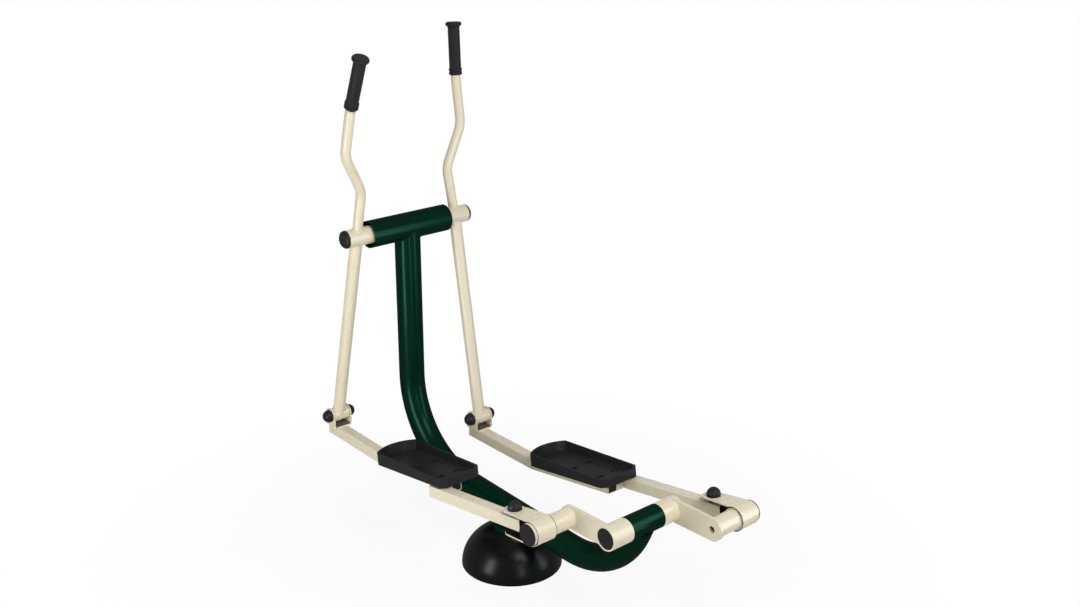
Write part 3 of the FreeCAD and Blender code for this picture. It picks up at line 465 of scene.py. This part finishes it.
FINISH_OF_SLOT = {
    "frame_paint": green_coat,
    "arm_paint": ivory_coat,
    "grip_rubber": grip_rubber,
    "pedal_plastic": pedal_plastic,
    "cap_plastic": cap_plastic,
    "cover_plastic": cover_gloss,
    "steel": zinc_steel,
    "bronze": sintered_bronze,
}
FINISH_OF_NODE = {
    # Painted shade: the axle seats are near-black so that the recess at the cross tube's ends reads as shadowed.
    "axle_seats": painted_shade_black,
    "left_pedal_bolts": blackened_steel,
    "right_pedal_bolts": blackened_steel,
    "left_pin_axle": blackened_steel,
    "right_pin_axle": blackened_steel,
}
for part in frame["record"]["subparts"]:
    solid = frame["nodes"][part["node"]]
    solid.data.materials.clear()
    solid.data.materials.append(FINISH_OF_NODE.get(part["node"], FINISH_OF_SLOT[part["material_slot"]]))


# Places on the machine

def corners(node):
    low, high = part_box(node)
    return Vector(low), Vector(high)


def middle_of(node):
    low, high = corners(node)
    return (low + high) / 2


def half_height(node):
    low, high = corners(node)
    return (high.z - low.z) / 2


def inner_and_outer(node):
    """X of a node's faces towards and away from the machine's middle plane."""
    low, high = corners(node)
    return sorted((low.x, high.x), key=abs)


def bar_axes(name):
    """Where a foot bar turns: its pivot on the lever and its pin on the crank."""
    return joint_at[name + "_foot_bar_pivot"], middle_of(name + "_pin_axle")


def bar_pitch(pivot, pin):
    """Slope of the line from the pin to the pivot."""
    return math.atan2(pivot.z - pin.z, pivot.y - pin.y)


def front_run(name):
    """Matrix of a foot bar's front run, Y forward along the bar.

    Its origin is on the pivot's axis, in the middle of the clevis.
    """
    pivot, pin = bar_axes(name)
    turn = Matrix.Rotation(bar_pitch(pivot, pin) + FRONT_BAR_TILT, 4, "X")
    return Matrix.Translation((middle_of(name + "_clevis").x, pivot.y, pivot.z)) @ turn


def rear_run(name):
    """Matrix of a foot bar's rear run, Y forward along the bar.

    Its origin is on the crank pin's axis, in the middle of the bar's width.
    """
    pivot, pin = bar_axes(name)
    length = math.hypot(pivot.y - pin.y, pivot.z - pin.z)
    under_pivot = Vector((0, -FRONT_BAR_BEND_BACK, -PIVOT_ABOVE_BAR - BAR_HALF))
    bend = Matrix.Rotation(FRONT_BAR_TILT, 3, "X") @ under_pivot
    turn = Matrix.Rotation(bar_pitch(pivot, pin) + math.atan2(bend.z, bend.y + length), 4, "X")
    return Matrix.Translation((middle_of(name + "_rear_bar").x, pin.y, pin.z)) @ turn


# Beads for welds and seals

def saddle_path(start, direction, radius, hub_radius):
    """Line where a round tube from start along direction leaves a hub through start that lies along X."""
    direction = direction.normalized()
    across = direction.cross(ALONG_X).normalized()
    beside = across.cross(direction)
    steepness = direction.y ** 2 + direction.z ** 2
    path = []
    for index in range(LOOP_STEPS):
        turn = FULL_TURN * index / LOOP_STEPS
        foot = across * (radius * math.cos(turn)) + beside * (radius * math.sin(turn))
        half = foot.y * direction.y + foot.z * direction.z
        rest = foot.y ** 2 + foot.z ** 2 - hub_radius ** 2
        reach = (-half + math.sqrt(half * half - steepness * rest)) / steepness
        path.append(start + foot + direction * reach)
    return path


def ring_path(centre, radius, start_turn=0.0, sweep=FULL_TURN, count=LOOP_STEPS):
    """Circle or arc about X; turn 0 points forward and turns grow upwards."""
    steps = count if sweep >= FULL_TURN else count - 1
    path = []
    for index in range(count):
        turn = start_turn + sweep * index / steps
        path.append(centre + Vector((0, radius * math.cos(turn), radius * math.sin(turn))))
    return path


def straight_path(start, end):
    return [start.lerp(end, index / (STRAIGHT_STEPS - 1)) for index in range(STRAIGHT_STEPS)]


def bead_mesh(name, path, closed, radius, ripple):
    """Tube along a path of points, its radius rippled by a share of itself."""
    count = len(path)
    vertices = []
    faces = []
    travelled = 0.0
    for index, point in enumerate(path):
        before = path[index - 1] if closed or index else point
        after = path[(index + 1) % count] if closed or index < count - 1 else point
        along = (after - before).normalized()
        side = along.cross(BEAD_ASIDE).normalized()
        rise = side.cross(along)
        here = radius * (1 + ripple * math.sin(FULL_TURN * travelled / RIPPLE_PITCH))
        for step in range(BEAD_SIDES):
            turn = FULL_TURN * step / BEAD_SIDES
            vertices.append(point + side * (here * math.cos(turn)) + rise * (here * math.sin(turn)))
        travelled += (after - point).length
    for index in range(count if closed else count - 1):
        following = (index + 1) % count
        for step in range(BEAD_SIDES):
            beside = (step + 1) % BEAD_SIDES
            faces.append((index * BEAD_SIDES + step, index * BEAD_SIDES + beside,
                          following * BEAD_SIDES + beside, following * BEAD_SIDES + step))
    if not closed:
        faces.append(tuple(range(BEAD_SIDES)))
        faces.append(tuple(reversed(range((count - 1) * BEAD_SIDES, count * BEAD_SIDES))))
    mesh = bpy.data.meshes.new(name)
    mesh.from_pydata(vertices, [], faces)
    mesh.update()
    mesh.polygons.foreach_set("use_smooth", [True] * len(mesh.polygons))
    return mesh


def add_piece(name, mesh, body, material):
    """Object with one finish that rides on a body."""
    mesh.materials.append(material)
    piece = bpy.data.objects.new(name, mesh)
    bpy.context.scene.collection.objects.link(piece)
    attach(piece, body)


def add_weld(name, path, body, radius=WELD_RADIUS, closed=True, material=ivory_coat):
    """Rippled bead, painted as what it joins."""
    add_piece(name, bead_mesh(name, path, closed, radius, WELD_RIPPLE), body, material)


def add_shade_seal(name, centre, ring_radius, bead_radius, body):
    """Black rubber ring about X, which also paints the shadow line in the seam or gap where it sits."""
    path = ring_path(centre, ring_radius, count=SEAL_STEPS)
    add_piece(name, bead_mesh(name, path, True, bead_radius, 0.0), body, painted_shade_black)


# Rubber shapes

def arc_points(centre, radius, start_turn, sweep, count):
    """Points of an arc, as (x, y)."""
    turns = [start_turn + sweep * index / (count - 1) for index in range(count)]
    return [(centre[0] + radius * math.cos(turn), centre[1] + radius * math.sin(turn)) for turn in turns]


def rounded_square(half, corner):
    """Outline of a bar's square section."""
    flat = half - corner
    outline = []
    for quarter, centre in enumerate(((flat, flat), (-flat, flat), (-flat, -flat), (flat, -flat))):
        outline += arc_points(centre, corner, quarter * QUARTER_TURN, QUARTER_TURN, BAR_CORNER_STEPS)
    return outline


def add_slab(shape, outline, seat, face, place):
    """Flat pad: an outline in X and Y, drawn along Z from its seat to a face with a soft rim, then placed."""
    slab = bmesh.new()
    bottom = slab.faces.new([slab.verts.new((x, y, seat)) for x, y in outline])
    raised = bmesh.ops.extrude_face_region(slab, geom=[bottom])["geom"]
    lifted = [item for item in raised if isinstance(item, bmesh.types.BMVert)]
    bmesh.ops.translate(slab, verts=lifted, vec=(0, 0, face - seat))
    rim = [edge for edge in slab.edges if all(end in lifted for end in edge.verts)]
    bmesh.ops.bevel(slab, geom=rim, offset=SHADE_PAD_ROUND, segments=RIM_STEPS, affect="EDGES")
    bmesh.ops.transform(slab, matrix=place, verts=slab.verts)
    mesh = bpy.data.meshes.new("slab")
    slab.to_mesh(mesh)
    slab.free()
    shape.from_mesh(mesh)
    bpy.data.meshes.remove(mesh)


def add_turned(shape, outline, place):
    """Solid turned about Z from (radius, height) points, its first and last rings closed by flat faces."""
    turns = [FULL_TURN * step / TURNED_SIDES for step in range(TURNED_SIDES)]
    levels = []
    for radius, height in outline:
        ring = [Vector((radius * math.cos(turn), radius * math.sin(turn), height)) for turn in turns]
        levels.append([shape.verts.new(place @ point) for point in ring])
    for below, above in zip(levels, levels[1:]):
        for step in range(TURNED_SIDES):
            beside = (step + 1) % TURNED_SIDES
            shape.faces.new((below[step], below[beside], above[beside], above[step]))
    shape.faces.new(list(reversed(levels[0])))
    shape.faces.new(levels[-1])


def add_shade_piece(shape, name, body, material=painted_shade_black):
    """Dark piece from a bmesh that paints shade, smooth where it is round."""
    bmesh.ops.recalc_face_normals(shape, faces=shape.faces)
    mesh = bpy.data.meshes.new(name)
    shape.to_mesh(mesh)
    shape.free()
    mesh.polygons.foreach_set("use_smooth", [True] * len(mesh.polygons))
    mesh.set_sharp_from_angle(angle=SMOOTH_ANGLE)
    add_piece(name, mesh, body, material)


# Welds, seals and rubber of each sub-part

def weld_cross_tube():
    """Bead where the main tube meets the cross tube."""
    path = saddle_path(lever_axis, Vector((0, 0, -1)), MAIN_TUBE_RADIUS, half_height("cross_tube"))
    add_weld("cross_tube_weld", path, "frame", CROSS_TUBE_WELD_RADIUS,
             material=green_coat)


def shade_strap_pocket(name):
    """Painted shade inside the strap: dark liners on its legs, dark buffers round the bosses and a dark pad on the
    bar's end stand in for the shadow in its pocket.
    """
    body = name + "_foot_bar"
    run = rear_run(name)
    upside_down = run @ Matrix.Rotation(HALF_TURN, 4, "Y")
    wide = STRAP_HALF_WIDTH - SHADE_LINER_INSET
    narrow = STRAP_TIP_RADIUS - SHADE_LINER_INSET
    tip = arc_points((0, STRAP_TIP - STRAP_TIP_RADIUS), narrow, 0, HALF_TURN, STRAP_TIP_STEPS)
    leg = [(wide, 0), (wide, STRAP_TAPER_START)] + tip + [(-wide, STRAP_TAPER_START), (-wide, 0)]
    at_boss = Matrix.Translation((0, STRAP_BOLT_STATION, 0))
    low = BAR_HALF - SEAT_DEPTH
    high = SLEEVE_RADIUS - SHADE_LINER_THICKNESS / 2
    barrel = []
    for level in range(SHADE_BUFFER_LEVELS + 1):
        bulge = SHADE_BUFFER_BULGE * math.sin(HALF_TURN * level / SHADE_BUFFER_LEVELS)
        barrel.append((STRAP_BOSS_RADIUS + SHADE_BUFFER_COVER + bulge, low + (high - low) * level / SHADE_BUFFER_LEVELS))
    liners = bmesh.new()
    buffers = bmesh.new()
    for place in (run, upside_down):
        add_slab(liners, leg, SLEEVE_RADIUS + SEAT_DEPTH, SLEEVE_RADIUS - SHADE_LINER_THICKNESS, place)
        add_turned(buffers, barrel, place @ at_boss)
    add_shade_piece(liners, name + "_strap_shade_liners", body)
    add_shade_piece(buffers, name + "_strap_shade_buffers", body)
    at_bar_end = Matrix.Translation((0, REAR_BAR_GAP_TO_PIN, 0))
    facing_pin = run @ at_bar_end @ Matrix.Rotation(QUARTER_TURN, 4, "X")
    end_pad = bmesh.new()
    add_slab(end_pad, rounded_square(BAR_HALF, BAR_CORNER), -SEAT_DEPTH, SHADE_END_PAD_THICKNESS, facing_pin)
    add_shade_piece(end_pad, name + "_bar_end_shade_pad", body)


def shade_clevis_floor(name):
    """Painted shade on the clevis's floor: a dark olive pad, rounded to its bends, stands in for the shadow under
    the pivot hub.
    """
    low, high = corners(name + "_clevis")
    half = (high.x - low.x) / 2 - CLEVIS_THICKNESS
    floor = CLEVIS_THICKNESS - PIVOT_ABOVE_BAR - SEAT_DEPTH
    bend = CLEVIS_BEND_RADIUS
    rise = math.acos((bend - CLEVIS_SHADE_PAD_HEIGHT) / bend)
    outline = arc_points((half - bend, floor + bend), bend, -QUARTER_TURN, rise, CLEVIS_BEND_STEPS)
    outline += arc_points((bend - half, floor + bend), bend, -QUARTER_TURN - rise, rise, CLEVIS_BEND_STEPS)
    reach = CLEVIS_HALF_LENGTH - CLEVIS_SHADE_PAD_INSET
    pad = bmesh.new()
    add_slab(pad, outline, -reach, reach, front_run(name) @ Matrix.Rotation(QUARTER_TURN, 4, "X"))
    add_shade_piece(pad, name + "_clevis_shade_pad", name + "_foot_bar", painted_shade_olive)


def weld_lever(name, side):
    """Beads where the lower arm and the handle meet the lever's two hubs."""
    body = name + "_lever"
    pivot = joint_at[name + "_foot_bar_pivot"]
    hub_middle = lever_axis + ALONG_X * (side * LEVER_PLANE_AT_HUB)
    foot = Vector((middle_of(name + "_pivot_hub").x, pivot.y, pivot.z))
    arm = foot - hub_middle
    swing = Matrix.Rotation(math.atan2(pivot.y - lever_axis.y, lever_axis.z - pivot.z), 3, "X")
    handle = swing @ HANDLE_LOW_BEND
    hub_radius = half_height(name + "_lever_hub")
    pivot_radius = half_height(name + "_pivot_hub")
    add_weld(name + "_arm_weld", saddle_path(hub_middle, arm, LOWER_ARM_RADIUS, hub_radius), body)
    add_weld(name + "_pivot_weld", saddle_path(foot, -arm, LOWER_ARM_RADIUS, pivot_radius), body)
    add_weld(name + "_handle_weld", saddle_path(hub_middle, handle, HANDLE_RADIUS, hub_radius), body)


def weld_crank_arm(name):
    """Beads round the spacer tube and on both sides of the arm's cope on the hub."""
    inner, outer = inner_and_outer(name + "_crank_arm")
    spacer_radius = half_height("pin_spacers")
    hub_radius = half_height(name + "_crank_hub")
    pin = middle_of(name + "_pin_axle")
    add_weld(name + "_spacer_weld", ring_path(Vector((outer, pin.y, pin.z)), spacer_radius), "crank")
    grasp = math.asin(half_height(name + "_crank_arm") / hub_radius)
    towards_pin = 0.0 if pin.y > crank_axis.y else HALF_TURN
    for face_name, face in (("inner", inner), ("outer", outer)):
        centre = Vector((face, crank_axis.y, crank_axis.z))
        path = ring_path(centre, hub_radius, towards_pin - grasp, 2 * grasp, COPE_STEPS)
        add_weld(name + "_crank_" + face_name + "_weld", path, "crank", closed=False)


def weld_clevis(name):
    """Beads along the front and rear edges of the clevis's foot on the bar."""
    run = front_run(name)
    reach = ALONG_X * (BAR_HALF - CLEVIS_WELD_INSET)
    for edge_name, along in (("front", CLEVIS_HALF_LENGTH), ("rear", -CLEVIS_HALF_LENGTH)):
        middle = run @ Vector((0, along, -PIVOT_ABOVE_BAR))
        add_weld(name + "_clevis_" + edge_name + "_weld", straight_path(middle - reach, middle + reach),
                 name + "_foot_bar", CLEVIS_WELD_RADIUS, closed=False)


def shade_pin_hub_seams(name, side):
    """Dark seals on the strap's inner edge and in its outer seam, which also paint the shadow lines there."""
    rear_corner = corners(name + "_strap")[0]
    inner, outer = inner_and_outer(name + "_strap")
    pin = middle_of(name + "_pin_axle")
    strap_radius = pin.y - rear_corner.y
    rings = {
        "inner_shade_lip": (inner, strap_radius - STRAP_SHADE_SEAL_RADIUS / 2),
        "outer_shade_seam": (outer - side * STRAP_SHADE_SEAL_RADIUS, SLEEVE_RADIUS + STRAP_SEAM / 2),
    }
    for ring_name, (plane, ring_radius) in rings.items():
        centre = Vector((plane, pin.y, pin.z))
        add_shade_seal(name + "_" + ring_name, centre, ring_radius, STRAP_SHADE_SEAL_RADIUS, name + "_foot_bar")


def shade_pivot_hub_gaps(name):
    """Thin dark seals in the gaps between the pivot hub's ends and the clevis's ears, which also paint the shadow
    lines there.
    """
    pivot = joint_at[name + "_foot_bar_pivot"]
    ring_radius = half_height(name + "_pivot_hub") - PIVOT_SHADE_SEAL_INSET
    for end_name, corner in zip(("left", "right"), corners(name + "_pivot_hub")):
        centre = Vector((corner.x, pivot.y, pivot.z))
        shade_seal_name = name + "_pivot_" + end_name + "_seal"
        add_shade_seal(shade_seal_name, centre, ring_radius, PIVOT_SHADE_SEAL_RADIUS, name + "_lever")


weld_cross_tube()
for side_name, side in (("left", -1), ("right", 1)):
    shade_strap_pocket(side_name)
    shade_clevis_floor(side_name)
    weld_lever(side_name, side)
    weld_crank_arm(side_name)
    weld_clevis(side_name)
    shade_pin_hub_seams(side_name, side)
    shade_pivot_hub_gaps(side_name)


# Studio

def towards_viewer(azimuth, elevation):
    """Unit vector from the machine towards a viewer; azimuth 0 stands behind the machine."""
    return Vector((math.sin(azimuth) * math.cos(elevation), -math.cos(azimuth) * math.cos(elevation),
                   math.sin(elevation)))


def add_camera():
    data = bpy.data.cameras.new("photo_camera")
    data.lens = CAMERA_LENS
    data.sensor_width = SENSOR_WIDTH
    data.sensor_fit = "HORIZONTAL"
    camera = bpy.data.objects.new("photo_camera", data)
    camera.location = CAMERA_PLACE
    view = -towards_viewer(CAMERA_AZIMUTH, CAMERA_ELEVATION)
    camera.rotation_euler = view.to_track_quat("-Z", "Y").to_euler()
    bpy.context.scene.collection.objects.link(camera)
    bpy.context.scene.camera = camera


def add_softbox(name, azimuth, distance, height, aim_height, size, power, gloss_only=False, tint=(1, 1, 1)):
    """Area lamp aimed at the machine's middle line; azimuth in degrees from the camera's side.

    A gloss_only lamp is a reflector card: it shows in glossy surfaces and adds no light to the rest.
    """
    data = bpy.data.lights.new(name, "AREA")
    data.shape = "RECTANGLE"
    data.size, data.size_y = size
    data.energy = power
    data.color = tint
    lamp = bpy.data.objects.new(name, data)
    lamp.location = towards_viewer(CAMERA_AZIMUTH + math.radians(azimuth), 0) * distance
    lamp.location.z += height
    aim = Vector((0, 0, aim_height)) - lamp.location
    lamp.rotation_euler = aim.to_track_quat("-Z", "Y").to_euler()
    lamp.visible_camera = False
    lamp.visible_diffuse = not gloss_only
    bpy.context.scene.collection.objects.link(lamp)


def seen_directly(tree):
    """1 for camera, glossy and transmission rays."""
    path = tree.nodes.new("ShaderNodeLightPath")
    first = combine(tree, "MAXIMUM", path.outputs["Is Camera Ray"], path.outputs["Is Glossy Ray"])
    return combine(tree, "MAXIMUM", first, path.outputs["Is Transmission Ray"])


def add_world():
    """White where it is seen, a weaker fill where it lights."""
    world = bpy.data.worlds.new("studio")
    world.use_nodes = True
    bpy.context.scene.world = world
    tree = world.node_tree
    background = tree.nodes["Background"]
    background.inputs["Color"].default_value = WHITE
    seen_more = combine(tree, "MULTIPLY", seen_directly(tree), 1.0 - FILL_STRENGTH)
    tree.links.new(combine(tree, "ADD", seen_more, FILL_STRENGTH), background.inputs["Strength"])


def floor_finish():
    """Pale floor that takes the shadow near the machine and runs out to white further off."""
    material, tree, principled = new_material("studio_floor")
    speckle = noise(tree, object_points(tree), scale=6.0, detail=3.0)
    ramp = tree.nodes.new("ShaderNodeValToRGB")
    for stop, tone in zip(ramp.color_ramp.elements, FLOOR_TONES):
        stop.color = tone
    tree.links.new(speckle, ramp.inputs["Fac"])
    tree.links.new(ramp.outputs["Color"], principled.inputs["Base Color"])
    principled.inputs["Roughness"].default_value = FLOOR_ROUGHNESS
    principled.inputs["Specular IOR Level"].default_value = 0.0
    glow = tree.nodes.new("ShaderNodeEmission")
    glow.inputs["Color"].default_value = WHITE
    glow.inputs["Strength"].default_value = 1.0
    distance = tree.nodes.new("ShaderNodeVectorMath")
    distance.operation = "LENGTH"
    tree.links.new(object_points(tree), distance.inputs[0])
    white = remap(tree, distance.outputs["Value"], SHADOW_REACH, WHITE_REACH, to_low=WHITE_NEAR_BASE)
    mix = tree.nodes.new("ShaderNodeMixShader")
    tree.links.new(combine(tree, "MULTIPLY", white, seen_directly(tree)), mix.inputs["Fac"])
    tree.links.new(principled.outputs["BSDF"], mix.inputs[1])
    tree.links.new(glow.outputs["Emission"], mix.inputs[2])
    tree.links.new(mix.outputs["Shader"], tree.nodes["Material Output"].inputs["Surface"])
    return material


def add_floor():
    mesh = bpy.data.meshes.new("floor")
    edges = (-FLOOR_HALF, FLOOR_HALF)
    mesh.from_pydata([(x, y, 0) for y in edges for x in edges], [], [(0, 1, 3, 2)])
    mesh.materials.append(floor_finish())
    floor = bpy.data.objects.new("floor", mesh)
    floor.location.z = -FLOOR_DROP
    bpy.context.scene.collection.objects.link(floor)


add_camera()
add_world()
add_floor()
add_softbox("left_softbox", azimuth=-52, distance=1.8, height=0.75, aim_height=0.75,
            size=(0.6, 1.45), power=15)
add_softbox("rear_softbox", azimuth=32, distance=2.5, height=3.10, aim_height=0.60,
            size=(1.6, 1.6), power=88)
add_softbox("left_card", azimuth=-50, distance=1.9, height=0.66, aim_height=0.66,
            size=(0.55, 1.3), power=30, gloss_only=True)
add_softbox("rear_card", azimuth=22, distance=2.0, height=0.66, aim_height=0.66,
            size=(0.25, 1.3), power=12, gloss_only=True)
add_softbox("right_card", azimuth=76, distance=2.3, height=1.06, aim_height=1.06,
            size=(0.6, 2.1), power=40, gloss_only=True, tint=(0.82, 0.95, 1.0))
bpy.context.scene.view_settings.view_transform = "Standard"
